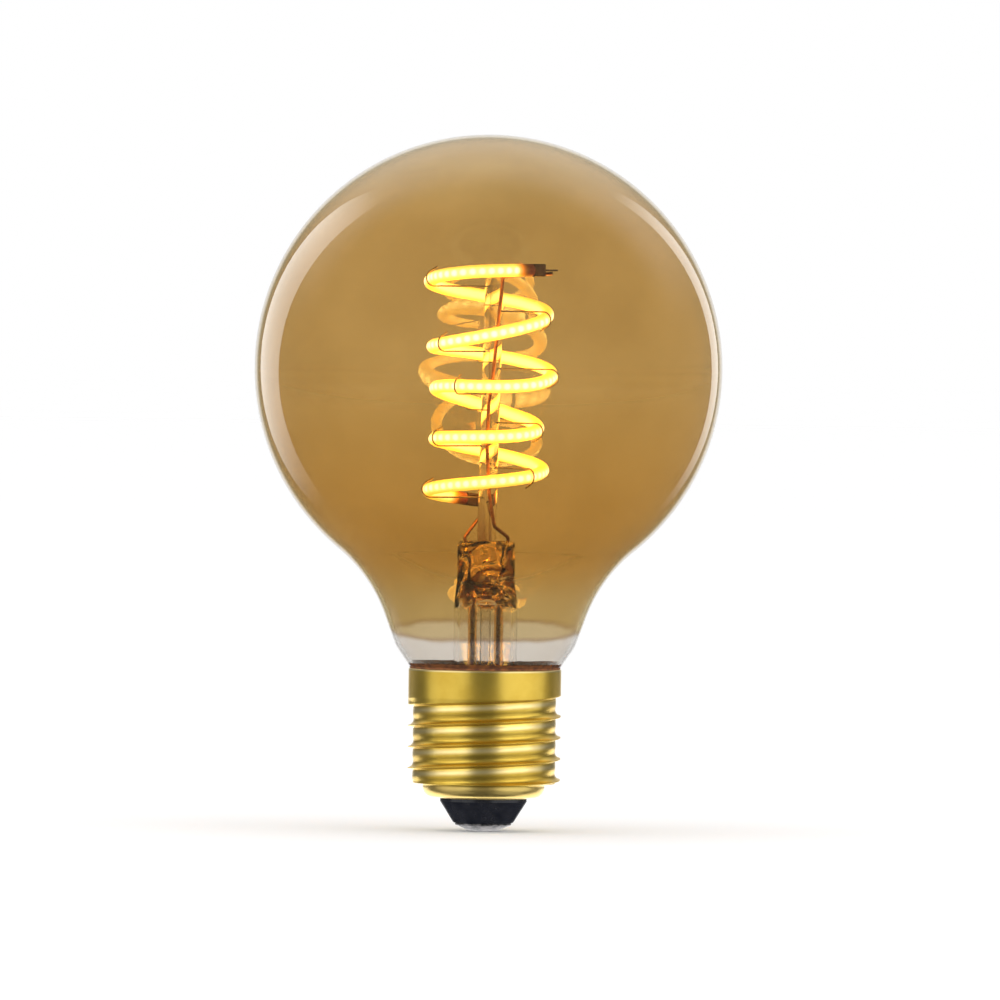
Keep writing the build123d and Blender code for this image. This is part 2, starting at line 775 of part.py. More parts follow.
os.makedirs("parts", exist_ok=True)
for name, piece in pieces.items():
    piece.part.label = name
    export_step(piece.part, f"parts/{name}.step")
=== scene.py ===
import math

import bpy
from mathutils import Matrix, Vector


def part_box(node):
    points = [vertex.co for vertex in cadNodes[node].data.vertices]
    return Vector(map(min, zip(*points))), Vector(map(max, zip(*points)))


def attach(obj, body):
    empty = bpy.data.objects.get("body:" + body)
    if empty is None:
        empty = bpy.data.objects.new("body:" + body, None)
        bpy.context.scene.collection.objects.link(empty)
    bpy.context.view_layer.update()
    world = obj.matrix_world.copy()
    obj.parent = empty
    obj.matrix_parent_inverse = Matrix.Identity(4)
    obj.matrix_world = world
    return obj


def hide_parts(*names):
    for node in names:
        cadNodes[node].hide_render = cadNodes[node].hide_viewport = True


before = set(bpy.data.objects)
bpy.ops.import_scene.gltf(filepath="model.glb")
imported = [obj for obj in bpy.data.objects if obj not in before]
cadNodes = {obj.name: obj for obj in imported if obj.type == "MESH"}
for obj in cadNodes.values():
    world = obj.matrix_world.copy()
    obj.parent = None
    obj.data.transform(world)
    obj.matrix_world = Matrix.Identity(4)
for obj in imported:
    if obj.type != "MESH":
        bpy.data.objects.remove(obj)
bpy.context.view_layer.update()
scene = bpy.context.scene
mm = 0.001
print("frame loaded", len(cadNodes), "nodes")


# small helpers for node trees

def addNode(tree, kind, inputs=None, **settings):
    node = tree.nodes.new(kind)
    for key, value in settings.items():
        setattr(node, key, value)
    for key, value in (inputs or {}).items():
        if isinstance(value, bpy.types.NodeSocket):
            tree.links.new(value, node.inputs[key])
        else:
            node.inputs[key].default_value = value
    return node


def newMaterial(name):
    material = bpy.data.materials.new(name)
    material.use_nodes = True
    material.node_tree.nodes.clear()
    return material, material.node_tree


def closeMaterial(tree, shader):
    out = addNode(tree, "ShaderNodeOutputMaterial")
    tree.links.new(shader.outputs[0], out.inputs["Surface"])


def objectCoords(tree):
    return addNode(tree, "ShaderNodeTexCoord").outputs["Object"]


def noise(tree, vector, scale, detail=3.0, stretch=None):
    if stretch:
        vector = addNode(tree, "ShaderNodeMapping", {"Vector": vector, "Scale": stretch}).outputs["Vector"]
    return addNode(tree, "ShaderNodeTexNoise", {"Vector": vector, "Scale": scale, "Detail": detail}).outputs["Fac"]


def mathNode(tree, operation, a, b=0.0, c=0.0):
    return addNode(tree, "ShaderNodeMath", {0: a, 1: b, 2: c}, operation=operation).outputs[0]


def vectorNode(tree, operation, a, b=(0.0, 0.0, 0.0)):
    return addNode(tree, "ShaderNodeVectorMath", {0: a, 1: b}, operation=operation)


def remap(tree, value, low, high, outLow=0.0, outHigh=1.0):
    inputs = {"Value": value, "From Min": low, "From Max": high, "To Min": outLow, "To Max": outHigh}
    return addNode(tree, "ShaderNodeMapRange", inputs, interpolation_type="SMOOTHSTEP").outputs["Result"]


def mixColor(tree, factor, a, b, blend="MIX"):
    node = addNode(tree, "ShaderNodeMix", data_type="RGBA", blend_type=blend)
    for socket, value in ((node.inputs[0], factor), (node.inputs[6], a), (node.inputs[7], b)):
        if isinstance(value, bpy.types.NodeSocket):
            tree.links.new(value, socket)
        else:
            socket.default_value = value
    return node.outputs[2]


def bump(tree, height, strength, distance):
    inputs = {"Height": height, "Strength": strength, "Distance": distance}
    return addNode(tree, "ShaderNodeBump", inputs).outputs["Normal"]


def dress(names, material):
    for name in names:
        slots = cadNodes[name].data.materials
        slots.clear()
        slots.append(material)


# amber coated globe, clear at the neck

globeLook = {
    "amber": (0.695, 0.525, 0.265, 1),
    "amberLow": (0.655, 0.455, 0.188, 1),  # darker towards the neck
    "amberTop": (0.745, 0.60, 0.355, 1),  # lighter at the crown
    "topFrom": 102 * mm,
    "topTo": 116 * mm,
    "lowFrom": 84 * mm,
    "lowTo": 48 * mm,
    "amberNeck": (0.672, 0.54, 0.305, 1),  # greyer just above the neck
    "neckFrom": 48 * mm,
    "neckTo": 37 * mm,
    "cloud": (0.91, 0.895, 0.85, 1),
    "edgeBrown": (0.52, 0.39, 0.245, 1),  # where the coat ends at the neck
    "clear": (0.80, 0.765, 0.72, 1),
    "coatHeight": 34.3 * mm,
    "coatTilt": 0.088,  # the coat reaches lower at the front
    "coatSoft": 1.1 * mm,
    "coatWander": 1.6 * mm,
    "wanderGrain": 160.0,
    "cloudGrain": 45.0,
    "cloudShare": (0.35, 0.7),  # noise from clear to cloudy
    "edgeShare": (0.0, 0.6),  # of the coat, from clear to brown
    "amberShare": (0.45, 1.0),  # of the coat, from brown to amber
    "ior": 1.5,
    "mirror": 1.0,  # the coat reflects more than bare glass
}


def makeGlobeGlass(look):
    material, tree = newMaterial("amberGlobeGlass")
    coords = objectCoords(tree)
    place = addNode(tree, "ShaderNodeSeparateXYZ", {0: coords})
    height = place.outputs["Z"]
    lifted = mathNode(tree, "MULTIPLY_ADD", place.outputs["Y"], -look["coatTilt"], height)
    wander = mathNode(tree, "MULTIPLY_ADD", noise(tree, coords, look["wanderGrain"]), look["coatWander"], lifted)
    middle = look["coatHeight"] + look["coatWander"] / 2
    coat = remap(tree, wander, middle - look["coatSoft"], middle + look["coatSoft"])
    cloudy = remap(tree, noise(tree, coords, look["cloudGrain"], 5.0), *look["cloudShare"])
    top = remap(tree, height, look["topFrom"], look["topTo"])
    low = remap(tree, height, look["lowFrom"], look["lowTo"])
    neck = remap(tree, height, look["neckFrom"], look["neckTo"])
    amber = mixColor(tree, low, look["amber"], look["amberLow"])
    amber = mixColor(tree, neck, amber, look["amberNeck"])
    amber = mixColor(tree, top, amber, look["amberTop"])
    amber = mixColor(tree, cloudy, amber, mixColor(tree, 1.0, amber, look["cloud"], "MULTIPLY"))
    thin = mixColor(tree, remap(tree, coat, *look["edgeShare"]), look["clear"], look["edgeBrown"])
    color = mixColor(tree, remap(tree, coat, *look["amberShare"]), thin, amber)
    shader = addNode(tree, "ShaderNodeBsdfPrincipled", {
        "Base Color": color, "Roughness": 0.0, "IOR": look["ior"], "Transmission Weight": 1.0,
        "Specular IOR Level": look["mirror"],
    })
    closeMaterial(tree, shader)
    return material


globeShape = {
    "capHeight": 27.8 * mm,
    "radius": 40.0 * mm,
    "neckLength": 11.3 * mm,
    "wall": 0.7 * mm,
    "seatRadius": 10.55 * mm,
    "mouthRadius": 12.7 * mm,
    "throatAngle": 35.0,
    "shoulderRise": 3.7 * mm,
    "shoulderRadius": 7.0 * mm,
    "neckAngle": 20.0,
    "blendRadius": 26.0 * mm,
    "seatBlend": 3.0 * mm,
    "sealDepth": 6.0 * mm,
    "arcStep": 1.5,  # degrees
    "lineStep": 0.4 * mm,
    "sameSpot": 0.01 * mm,  # ends nearer than this are one point
    "segments": 160,
}


def slope(angle):
    return Vector((math.sin(math.radians(angle)), math.cos(math.radians(angle))))


def outward(angle):
    return Vector((math.cos(math.radians(angle)), -math.sin(math.radians(angle))))


def arcPoints(centre, radius, start, end, step):
    first = math.atan2(start.y, start.x)
    turn = (math.atan2(end.y, end.x) - first + math.pi) % math.tau - math.pi
    count = max(2, math.ceil(abs(math.degrees(turn)) / step))
    angles = [first + turn * k / count for k in range(count + 1)]
    return [centre + Vector((math.cos(a), math.sin(a))) * radius for a in angles]


def linePoints(start, end, step):
    count = max(2, math.ceil((end - start).length / step))
    return [start.lerp(end, k / count) for k in range(1, count)]


def globeOutline(shape, inset):
    throat, neck = shape["throatAngle"], shape["neckAngle"]
    grow = math.tan(math.radians(throat))
    cap, seat, mouth = shape["capHeight"], shape["seatRadius"], shape["mouthRadius"]
    shoulder, blend, seatBlend = shape["shoulderRadius"], shape["blendRadius"], shape["seatBlend"]
    centre = Vector((0.0, cap + shape["neckLength"] + shape["radius"]))
    foot = Vector((seat, cap + (seat - mouth) / grow))
    head = Vector((mouth + shape["shoulderRise"] * grow, cap + shape["shoulderRise"]))
    seatRun = seatBlend * math.tan(math.radians(throat) / 2)
    shoulderRun = shoulder * math.tan(math.radians(throat - neck) / 2)
    seatCentre = foot + slope(throat) * seatRun + outward(throat) * seatBlend
    shoulderCentre = head + slope(neck) * shoulderRun - outward(neck) * shoulder
    start = head + outward(neck) * blend - centre
    along = start.dot(slope(neck))
    reach = shape["radius"] + blend
    travel = -along - math.sqrt(along**2 - start.length_squared + reach**2)
    blendCentre = centre + start + slope(neck) * travel
    edge = (blendCentre - centre).normalized()
    arcs = [
        (centre, shape["radius"] - inset, Vector((0.0, 1.0)), edge),
        (blendCentre, blend + inset, -edge, -outward(neck)),
        (shoulderCentre, shoulder - inset, outward(neck), outward(throat)),
        (seatCentre, seatBlend + inset, -outward(throat), Vector((-1.0, 0.0))),
    ]
    points = []
    for arc in arcs:
        bend = arcPoints(*arc, shape["arcStep"])
        if points and (bend[0] - points[-1]).length > shape["lineStep"]:
            points += linePoints(points[-1], bend[0], shape["lineStep"])
        joined = points and (bend[0] - points[-1]).length <= shape["sameSpot"]
        points += bend[1:] if joined else bend
    end = Vector((seat - inset, cap - shape["sealDepth"]))
    return points + linePoints(points[-1], end, shape["lineStep"]) + [end]


def makeGlobe(shape, material):
    outline = globeOutline(shape, 0.0) + globeOutline(shape, shape["wall"])[::-1]
    segments = shape["segments"]
    turns = [math.tau * k / segments for k in range(segments)]
    ways = [(math.cos(turn), math.sin(turn)) for turn in turns]
    places = [(0.0, 0.0, outline[0].y)]
    for point in outline[1:-1]:
        places += [(point.x * c, point.x * s, point.y) for c, s in ways]
    places.append((0.0, 0.0, outline[-1].y))
    faces = []
    rings = len(outline) - 2
    for k in range(segments):
        after = (k + 1) % segments
        faces.append((0, 1 + k, 1 + after))
        for ring in range(rings - 1):
            upper, lower = 1 + ring * segments, 1 + (ring + 1) * segments
            faces.append((upper + k, lower + k, lower + after, upper + after))
        last = 1 + (rings - 1) * segments
        faces.append((len(places) - 1, last + after, last + k))
    mesh = bpy.data.meshes.new("globeGlass")
    mesh.from_pydata(places, [], faces)
    mesh.shade_smooth()
    mesh.materials.append(material)
    globe = bpy.data.objects.new("globeGlass", mesh)
    scene.collection.objects.link(globe)
    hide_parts("glass_envelope")
    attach(globe, "root")
    print("globe turned,", rings, "rings,", len(faces), "faces")
    return globe


globe = makeGlobe(globeShape, makeGlobeGlass(globeLook))


# drawn and pressed glass of the stem, with painted refraction and painted shade in the press

stemLook = {
    "clear": (0.95, 0.93, 0.91, 1),
    # painted refraction: the press is tinted brown for the amber globe seen through the bent glass
    "pressed": (0.95, 0.68, 0.33, 1),
    "foldPaintedShade": (0.10, 0.018, 0.002, 1),  # painted shade: dark brown lines along the folds stand in for dark refractions in the press
    "ior": 1.3,
    "pressFrom": 37.6 * mm,
    "pressFull": 40.2 * mm,
    "pressEnd": (49.9 * mm, 52.5 * mm),
    "foldScale": 150.0,
    "foldPitch": 6.0 * mm,
    "foldSway": 4.2,  # how far the folds wander, in pitches
    "foldShadeShare": (0.15, 0.90),  # height of the fold where the painted shade begins
    "wave": (0.06, 1.0),  # drawn tube, press
    "waveGrain": 330.0,
    "waveStretch": (1.0, 1.0, 0.45),
    "depth": 1.0 * mm,
    "mirror": 1.0,
}


def makeStemGlass(look):
    material, tree = newMaterial("stemGlass")
    coords = objectCoords(tree)
    height = addNode(tree, "ShaderNodeSeparateXYZ", {0: coords}).outputs["Z"]
    press = mathNode(tree, "MULTIPLY",
                     remap(tree, height, look["pressFrom"], look["pressFull"]),
                     remap(tree, height, look["pressEnd"][1], look["pressEnd"][0]))
    swirl = noise(tree, coords, look["foldScale"], 1.0)
    level = mathNode(tree, "DIVIDE", height, look["foldPitch"])
    phase = mathNode(tree, "MULTIPLY_ADD", swirl, look["foldSway"], level)
    band = mathNode(tree, "SINE", mathNode(tree, "MULTIPLY", phase, math.tau))
    # painted refraction and painted shade: brown tint over the press, dark brown along the fold lines
    foldPaintedShade = mathNode(tree, "MULTIPLY", remap(tree, band, *look["foldShadeShare"]), press)
    plain = mixColor(tree, press, look["clear"], look["pressed"])
    ripple = noise(tree, coords, look["waveGrain"], 1.0, stretch=look["waveStretch"])
    wave = mathNode(tree, "ADD", ripple, mathNode(tree, "MULTIPLY", band, press))
    strength = remap(tree, press, 0.0, 1.0, *look["wave"])
    shader = addNode(tree, "ShaderNodeBsdfPrincipled", {
        "Base Color": mixColor(tree, foldPaintedShade, plain, look["foldPaintedShade"]), "Specular IOR Level": look["mirror"],
        "Roughness": 0.0, "IOR": look["ior"], "Transmission Weight": 1.0,
        "Normal": bump(tree, wave, strength, look["depth"]),
    })
    closeMaterial(tree, shader)
    return material


postLook = {
    "clear": (0.98, 0.93, 0.83, 1),
    # painted shade: dark brown streaks along the rod stand in for dark refractions in the glass
    "paintedStreak": (0.30, 0.11, 0.03, 1),
    "grain": 900.0,
    "along": (1.0, 1.0, 0.02),  # streaks run along the drawn rod
    "paintedStreakShare": (0.58, 0.68),
    "wave": 0.2,
    "depth": 0.3 * mm,
    "ior": 1.52,
}


def makePostGlass(look):
    material, tree = newMaterial("postGlass")
    coords = objectCoords(tree)
    drawn = noise(tree, coords, look["grain"], 2.0, stretch=look["along"])
    # painted shade: dark brown streaks mixed over the clear glass
    paintedStreak = remap(tree, drawn, *look["paintedStreakShare"])
    shader = addNode(tree, "ShaderNodeBsdfPrincipled", {
        "Base Color": mixColor(tree, paintedStreak, look["clear"], look["paintedStreak"]),
        "Roughness": 0.0, "IOR": look["ior"], "Transmission Weight": 1.0,
        "Normal": bump(tree, drawn, look["wave"], look["depth"]),
    })
    closeMaterial(tree, shader)
    return material


dress(["stem_flare", "exhaust_tube"], makeStemGlass(stemLook))
dress(["stem_post"], makePostGlass(postLook))
print("stem dressed")


# glowing filament, wound along the coil of its solid

filamentLook = {
    "startAngle": -45.0,  # degrees, upper end of the coil
    "turns": 4.556,
    "sampleStep": 4.0,  # degrees along the coil
    "thick": 2.2 * mm,
    "sides": 24,
    "side": (1.0, 0.66, 0.11, 1),
    "core": (1.0, 0.82, 0.50, 1),
    "dot": (1.0, 0.93, 0.80, 1),
    "sideGlow": 2.0,
    "coreGlow": 2.7,
    "dotGlow": 4.2,
    "dotPitch": 1.46 * mm,
    "dotLength": 0.9,  # share of the pitch
    "dotRise": 0.62,  # half of its height, as the rise of the surface
    "dotSpread": (1.1, 0.0),
    "coreRise": (0.98, 0.25),  # rise of the surface, from the side to the core
    "outerFacing": (-0.2, 0.6),  # points show on the outer side
    "darkEnd": 0.8 * mm,
    "litFrom": 4.4 * mm,
    "endColor": (0.20, 0.03, 0.002, 1),
    "fadeColor": (1.0, 0.26, 0.02, 1),  # on the way to the dark end
    "fadeGlow": 1.1,
    "fadeShare": (0.0, 0.5),  # from dark to fading
    "litShare": (0.35, 1.0),  # from fading to full light
    "rough": 0.45,
    "mirrored": 5.5,  # painted reflection: added glow where the coil is seen by reflection, brightening its ghosts in the globe
    "ghostPaintedTint": (1.0, 0.80, 0.36, 1),
}


def coilPhase(point, look, top, drop):
    turn = (look["startAngle"] - math.degrees(math.atan2(point.y, point.x))) % 360.0
    whole = 360.0 * look["turns"]
    guesses = [turn + 360.0 * k for k in range(-1, 6)]
    return min(guesses, key=lambda phase: abs(top - drop * phase / whole - point.z))


def readCoil(look):
    low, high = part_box("led_filament")
    points = [v.co.copy() for v in cadNodes["led_filament"].data.vertices]
    whole = 360.0 * look["turns"]
    thick = look["thick"]
    top = high[2] - thick / 2
    drop = high[2] - low[2] - thick
    phased = [(coilPhase(p, look, top, drop), p) for p in points]
    line = []
    count = int(whole / look["sampleStep"])
    for k in range(count + 1):
        phase = whole * k / count
        near = [p for f, p in phased if abs(f - phase) < look["sampleStep"] * 1.5]
        reach = [math.hypot(p.x, p.y) for p in near]
        heights = [p.z for p in near]
        radius = (min(reach) + max(reach)) / 2
        height = (min(heights) + max(heights)) / 2
        angle = math.radians(look["startAngle"] - phase)
        line.append(Vector((radius * math.cos(angle), radius * math.sin(angle), height)))
    return line


def makeFilamentTree():
    tree = bpy.data.node_groups.new("filamentTube", "GeometryNodeTree")
    tree.interface.new_socket("Path", in_out="INPUT", socket_type="NodeSocketGeometry")
    tree.interface.new_socket("Radius", in_out="INPUT", socket_type="NodeSocketFloat")
    tree.interface.new_socket("Sides", in_out="INPUT", socket_type="NodeSocketInt")
    tree.interface.new_socket("Finish", in_out="INPUT", socket_type="NodeSocketMaterial")
    tree.interface.new_socket("Tube", in_out="OUTPUT", socket_type="NodeSocketGeometry")
    given = addNode(tree, "NodeGroupInput")
    path = addNode(tree, "GeometryNodeMeshToCurve", {"Mesh": given.outputs["Path"]})
    length = addNode(tree, "GeometryNodeSplineParameter").outputs["Length"]
    along = addNode(tree, "GeometryNodeStoreNamedAttribute", {
        "Geometry": path.outputs[0], "Name": "along", "Value": length,
    }, data_type="FLOAT", domain="POINT")
    ring = addNode(tree, "GeometryNodeCurvePrimitiveCircle", {
        "Resolution": given.outputs["Sides"], "Radius": given.outputs["Radius"],
    })
    tube = addNode(tree, "GeometryNodeCurveToMesh", {
        "Curve": along.outputs[0], "Profile Curve": ring.outputs[0], "Fill Caps": True,
    })
    normal = addNode(tree, "GeometryNodeInputNormal").outputs[0]
    place = addNode(tree, "GeometryNodeInputPosition").outputs[0]
    level = vectorNode(tree, "MULTIPLY", place, (1.0, 1.0, 0.0)).outputs[0]
    away = vectorNode(tree, "NORMALIZE", level).outputs[0]
    facing = vectorNode(tree, "DOT_PRODUCT", normal, away).outputs["Value"]
    rising = addNode(tree, "ShaderNodeSeparateXYZ", {0: normal}).outputs["Z"]
    outer = addNode(tree, "GeometryNodeStoreNamedAttribute", {
        "Geometry": tube.outputs[0], "Name": "facing", "Value": facing,
    }, data_type="FLOAT", domain="POINT")
    upper = addNode(tree, "GeometryNodeStoreNamedAttribute", {
        "Geometry": outer.outputs[0], "Name": "rising", "Value": rising,
    }, data_type="FLOAT", domain="POINT")
    smooth = addNode(tree, "GeometryNodeSetShadeSmooth", {"Geometry": upper.outputs[0]})
    real = addNode(tree, "GeometryNodeRealizeInstances", {0: smooth.outputs[0]})
    finish = addNode(tree, "GeometryNodeSetMaterial", {
        "Geometry": real.outputs[0], "Material": given.outputs["Finish"],
    })
    out = addNode(tree, "NodeGroupOutput")
    tree.links.new(finish.outputs[0], out.inputs["Tube"])
    return tree


def runTree(name, mesh, tree, values):
    source = bpy.data.objects.new(name + "Source", mesh)
    scene.collection.objects.link(source)
    modifier = source.modifiers.new("nodes", "NODES")
    modifier.node_group = tree
    for item in tree.interface.items_tree:
        if item.in_out == "INPUT" and item.name in values:
            modifier[item.identifier] = values[item.name]
    shaped = source.evaluated_get(bpy.context.evaluated_depsgraph_get())
    result = bpy.data.meshes.new_from_object(shaped)
    source.modifiers.clear()
    bpy.data.objects.remove(source)
    piece = bpy.data.objects.new(name, result)
    scene.collection.objects.link(piece)
    return piece


def makeFilamentGlow(look, length):
    material, tree = newMaterial("filamentGlow")
    along = addNode(tree, "ShaderNodeAttribute", attribute_name="along").outputs["Fac"]
    facing = addNode(tree, "ShaderNodeAttribute", attribute_name="facing").outputs["Fac"]
    rising = addNode(tree, "ShaderNodeAttribute", attribute_name="rising").outputs["Fac"]
    step = mathNode(tree, "FRACT", mathNode(tree, "DIVIDE", along, look["dotPitch"]))
    offset = mathNode(tree, "DIVIDE", mathNode(tree, "SUBTRACT", step, 0.5), look["dotLength"] / 2)
    side = mathNode(tree, "DIVIDE", rising, look["dotRise"])
    spread = mathNode(tree, "MULTIPLY_ADD", offset, offset, mathNode(tree, "MULTIPLY", side, side))
    core = remap(tree, mathNode(tree, "ABSOLUTE", rising), *look["coreRise"])
    outer = remap(tree, facing, *look["outerFacing"])
    dot = mathNode(tree, "MULTIPLY", remap(tree, spread, *look["dotSpread"]), outer)
    lit = mathNode(tree, "MULTIPLY",
                   remap(tree, along, look["darkEnd"], look["litFrom"]),
                   remap(tree, along, length - look["darkEnd"], length - look["litFrom"]))
    warm = mixColor(tree, core, look["side"], look["core"])
    bright = mixColor(tree, dot, warm, look["dot"])
    dim = remap(tree, lit, *look["fadeShare"])
    full = remap(tree, lit, *look["litShare"])
    fading = mixColor(tree, dim, look["endColor"], look["fadeColor"])
    glow = mixColor(tree, full, fading, bright)
    power = mathNode(tree, "MULTIPLY_ADD", core, look["coreGlow"] - look["sideGlow"], look["sideGlow"])
    power = mathNode(tree, "MULTIPLY_ADD", dot, look["dotGlow"] - look["coreGlow"], power)
    rest = mathNode(tree, "MULTIPLY", dim, look["fadeGlow"])
    power = mathNode(tree, "MULTIPLY_ADD", mathNode(tree, "SUBTRACT", power, rest), full, rest)
    # painted reflection: rays that reach the coil by reflection find it brighter and warmer
    mirrored = addNode(tree, "ShaderNodeLightPath").outputs["Is Reflection Ray"]
    power = mathNode(tree, "MULTIPLY", power, mathNode(tree, "MULTIPLY_ADD", mirrored, look["mirrored"], 1.0))
    glow = mixColor(tree, mirrored, glow, look["ghostPaintedTint"], "MULTIPLY")
    shader = addNode(tree, "ShaderNodeBsdfPrincipled", {
        "Base Color": mixColor(tree, lit, look["endColor"], look["side"]),
        "Roughness": look["rough"], "Emission Color": glow, "Emission Strength": power,
    })
    closeMaterial(tree, shader)
    return material


def makeFilament(look):
    line = readCoil(look)
    length = sum((b - a).length for a, b in zip(line, line[1:]))
    path = bpy.data.meshes.new("filamentPath")
    path.from_pydata(line, [(k, k + 1) for k in range(len(line) - 1)], [])
    filament = runTree("filamentTube", path, makeFilamentTree(), {
        "Radius": look["thick"] / 2, "Sides": look["sides"], "Finish": makeFilamentGlow(look, length),
    })
    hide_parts("led_filament")
    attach(filament, "root")
    print("filament wound,", round(length / mm, 1), "mm,", len(filament.data.polygons), "faces")


makeFilament(filamentLook)


# rolled brass of the cap, with painted highlights

brassLook = {
    "bright": (0.87, 0.605, 0.10, 1),
    "deep": (0.76, 0.50, 0.07, 1),
    "highlightColor": (0.96, 0.80, 0.40, 1),  # painted highlight on the upper side of the thread roots
    "highlightAt": (0.70, 0.20),  # middle and half width, in pitches above the crest
    "highlightShare": 0.8,
    "bowl": (8.2 * mm, 7.6 * mm),  # below the thread
    # painted highlight: the bowl below the thread is paler
    "bowlHighlight": 0.35,
    "rim": (27.3 * mm, 27.6 * mm),  # painted highlight along the upper edge of the collar
    "rimHighlight": 0.8,
    "patchGrain": 190.0,
    "patchShare": (0.35, 0.7),
    "rough": (0.28, 0.38),
    "roughShare": (0.3, 0.75),  # of the patches
    "lines": 2600.0,
    "lineStretch": (0.05, 0.05, 1.0),
    "lineBump": 0.12,
    "lineDepth": 0.05 * mm,
    "edge": 0.22 * mm,  # edges are rolled over
    "pitch": 3.629 * mm,
    "thread": (8.9 * mm, 22.0 * mm),  # heights between which the thread is rolled
    "crest": 12.95 * mm,
    "rootShare": 0.27,  # half of the root, as a share of the pitch
    "swell": 1.3 * mm,
}


def threadPhase(look):
    low, high = look["thread"]
    turn = Vector((0.0, 0.0))
    for vertex in cadNodes["screw_shell"].data.vertices:
        x, y, z = vertex.co
        if math.hypot(x, y) > look["crest"] and low < z < high:
            angle = math.tau * z / look["pitch"] - math.atan2(y, x)
            turn += Vector((math.cos(angle), math.sin(angle)))
    return math.atan2(turn.y, turn.x) / math.tau  # crest, in turns


def threadAcross(tree, coords, look):
    place = addNode(tree, "ShaderNodeSeparateXYZ", {0: coords})
    angle = mathNode(tree, "ARCTAN2", place.outputs["Y"], place.outputs["X"])
    climb = mathNode(tree, "DIVIDE", place.outputs["Z"], look["pitch"])
    turns = mathNode(tree, "SUBTRACT", climb, mathNode(tree, "DIVIDE", angle, math.tau))
    across = mathNode(tree, "FRACT", mathNode(tree, "SUBTRACT", turns, threadPhase(look)))
    low, high = look["thread"]
    rolled = mathNode(tree, "MULTIPLY", remap(tree, place.outputs["Z"], low - mm, low),
                      remap(tree, place.outputs["Z"], high + mm, high))
    return across, rolled


def makeBrass(look):
    material, tree = newMaterial("rolledBrass")
    coords = objectCoords(tree)
    lines = noise(tree, coords, look["lines"], 2.0, stretch=look["lineStretch"])
    patches = noise(tree, coords, look["patchGrain"], 4.0)
    across, rolled = threadAcross(tree, coords, look)
    offset = mathNode(tree, "ABSOLUTE", mathNode(tree, "SUBTRACT", across, 0.5))
    inside = mathNode(tree, "MINIMUM", offset, look["rootShare"])
    swell = mathNode(tree, "MULTIPLY", mathNode(tree, "MULTIPLY", inside, inside), rolled)
    # painted highlight: pale band on the upper side of each thread root
    middle, wide = look["highlightAt"]
    above = remap(tree, mathNode(tree, "ABSOLUTE", mathNode(tree, "SUBTRACT", across, middle)), wide, 0.0)
    rootHighlight = mathNode(tree, "MULTIPLY", mathNode(tree, "MULTIPLY", above, rolled), look["highlightShare"])
    color = mixColor(tree, remap(tree, patches, *look["patchShare"]), look["bright"], look["deep"])
    height = addNode(tree, "ShaderNodeSeparateXYZ", {0: coords}).outputs["Z"]
    # painted highlight on the bowl
    bowl = remap(tree, height, *look["bowl"], 0.0, look["bowlHighlight"])
    # painted highlight along the collar rim
    rim = remap(tree, height, *look["rim"], 0.0, look["rimHighlight"])
    # painted highlights of the thread roots, the bowl and the collar rim, mixed into the brass colour
    paintedHighlights = mathNode(tree, "MAXIMUM", rootHighlight, mathNode(tree, "MAXIMUM", bowl, rim))
    color = mixColor(tree, paintedHighlights, color, look["highlightColor"])
    rough = remap(tree, patches, *look["roughShare"], *look["rough"])
    soft = addNode(tree, "ShaderNodeBevel", {"Radius": look["edge"]}, samples=6).outputs["Normal"]
    swelled = addNode(tree, "ShaderNodeBump", {
        "Height": swell, "Distance": look["swell"], "Normal": soft,
    }, invert=True)
    relief = addNode(tree, "ShaderNodeBump", {
        "Height": lines, "Strength": look["lineBump"], "Distance": look["lineDepth"],
        "Normal": swelled.outputs["Normal"],
    })
    shader = addNode(tree, "ShaderNodeBsdfPrincipled", {
        "Base Color": color, "Metallic": 1.0, "Roughness": rough, "Normal": relief.outputs["Normal"],
    })
    closeMaterial(tree, shader)
    return material


dress(["screw_shell"], makeBrass(brassLook))


# simple finishes, each with its own grain

finishLook = {
    "detail": 4.0,
    "shadeShare": (0.3, 0.7),  # of the grain, from dark to light
    "roughShare": (0.25, 0.75),
}


def makeFinish(name, dark, light, rough, grain, metallic=0.0, depth=0.02 * mm, strength=0.3, clear=0.0):
    material, tree = newMaterial(name)
    speckle = noise(tree, objectCoords(tree), grain, finishLook["detail"])
    shade = remap(tree, speckle, *finishLook["shadeShare"])
    shader = addNode(tree, "ShaderNodeBsdfPrincipled", {
        "Base Color": mixColor(tree, shade, dark, light), "Metallic": metallic,
        "Roughness": remap(tree, speckle, *finishLook["roughShare"], *rough),
        "Normal": bump(tree, speckle, strength, depth), "Transmission Weight": clear,
    })
    closeMaterial(tree, shader)
    return material


